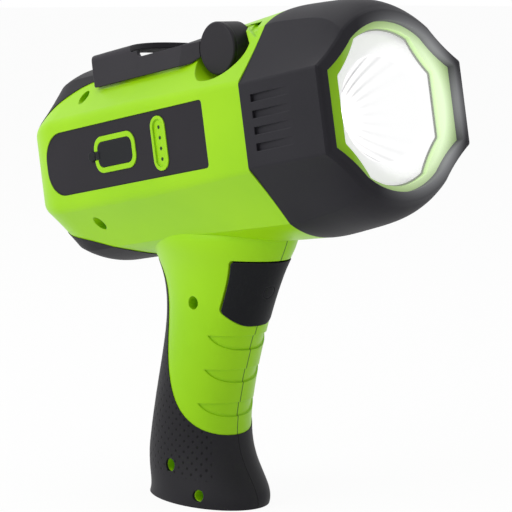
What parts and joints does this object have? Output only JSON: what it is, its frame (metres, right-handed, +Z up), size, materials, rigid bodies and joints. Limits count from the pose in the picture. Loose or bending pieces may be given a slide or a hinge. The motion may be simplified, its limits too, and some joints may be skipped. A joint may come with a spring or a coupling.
{
  "type": "handheld searchlight",
  "caption": "Handheld searchlight with a pistol grip, squeeze trigger, lobed rubber bezel, tethered charging cover and a fold-up stand over its head.",
  "frame": {"origin": "centre of the foot's flat base", "axes": "+Z up, +X the way the beam points seen from above, +Y to the light's left"},
  "size_m": [0.2785, 0.1055, 0.2865],
  "materials": {
    "lime_plastic": "satin moulded plastic with a fine spark grain",
    "soft_black": "matte soft-touch elastomer with small dimples",
    "bezel_rubber": "matte rubber with a fine grain",
    "clear_lens": "clear polished polycarbonate",
    "grey_rubber": "matte grey seal",
    "reflector_chrome": "vacuum-metallised, fluted",
    "board_green": "solder mask",
    "cast_alloy": "bare casting",
    "screw_steel": "zinc-plated",
    "spring_steel": "oiled wire",
    "panel_black": "matte grained insert",
    "cover_rubber": "soft matte elastomer",
    "moulded_black": "plain moulded",
    "light_pipe": "smoked, polished",
    "cell_wrap": "heat-shrunk sleeve",
    "nickel_strip": "plain strip",
    "stand_black": "matte moulded, fine grain",
    "nylon": "natural nylon",
    "trigger_black": "matte speckled grain",
    "wire_red": "wire insulation",
    "wire_black": "wire insulation",
    "lamp_white": "glowing emitter dome"
  },
  "bodies": {
    "housing": {"housing_right": "lime_plastic", "housing_left": "lime_plastic", "front_ring": "lime_plastic", "overmold_right": "soft_black", "overmold_left": "soft_black", "front_bezel": "bezel_rubber", "lens": "clear_lens", "lens_gasket": "grey_rubber", "reflector": "reflector_chrome", "led_emitter": "lamp_white", "led_board": "board_green", "heat_sink": "cast_alloy", "heat_sink_screws": "screw_steel", "side_panel_right": "panel_black", "side_panel_left": "panel_black", "cover_tether": "cover_rubber", "charge_jack": "moulded_black", "indicator_lights": "light_pipe", "indicator_board": "board_green", "battery_tray": "moulded_black", "battery_cells": "cell_wrap", "cell_strips": "nickel_strip", "driver_board": "board_green", "stand_pin": "screw_steel", "friction_washers": "nylon", "trigger_spring": "spring_steel", "switch_body": "moulded_black", "housing_screws": "screw_steel", "lamp_leads": "wire_red", "battery_leads": "wire_red", "charge_leads": "wire_black", "switch_leads": "wire_black"},
    "stand": {"stand_arm": "stand_black", "hub_cap_right": "stand_black", "hub_cap_left": "stand_black"},
    "trigger": {"trigger": "trigger_black"},
    "plunger": {"switch_plunger": "nylon"},
    "cover": {"port_cover": "cover_rubber"}
  },
  "joints": [
    {"name": "stand_fold", "type": "hinge", "parent": "housing", "child": "stand", "pos_m": [0.05039, 0, 0.25993], "axis": [0, 1, 0], "range_deg": [0, 110]},
    {"name": "trigger_squeeze", "type": "slide", "parent": "housing", "child": "trigger", "axis": [-0.8894, 0, 0.4571], "range_m": [0, 0.0012], "stiffness_N_per_m": 1500, "springref_m": -0.0008, "deforming": ["trigger_spring"]},
    {"name": "plunger_press", "type": "slide", "parent": "housing", "child": "plunger", "axis": [-0.8894, 0, 0.4571], "range_m": [0, 0.0012]},
    {"name": "cover_flip", "type": "hinge", "parent": "housing", "child": "cover", "pos_m": [-0.0361, -0.0529, 0.19783], "axis": [0.1874, 0, -0.9823], "range_deg": [0, 100]}
  ],
  "couplings": [
    {"joint": "plunger_press", "follows": "trigger_squeeze", "ratio": 1}
  ]
}
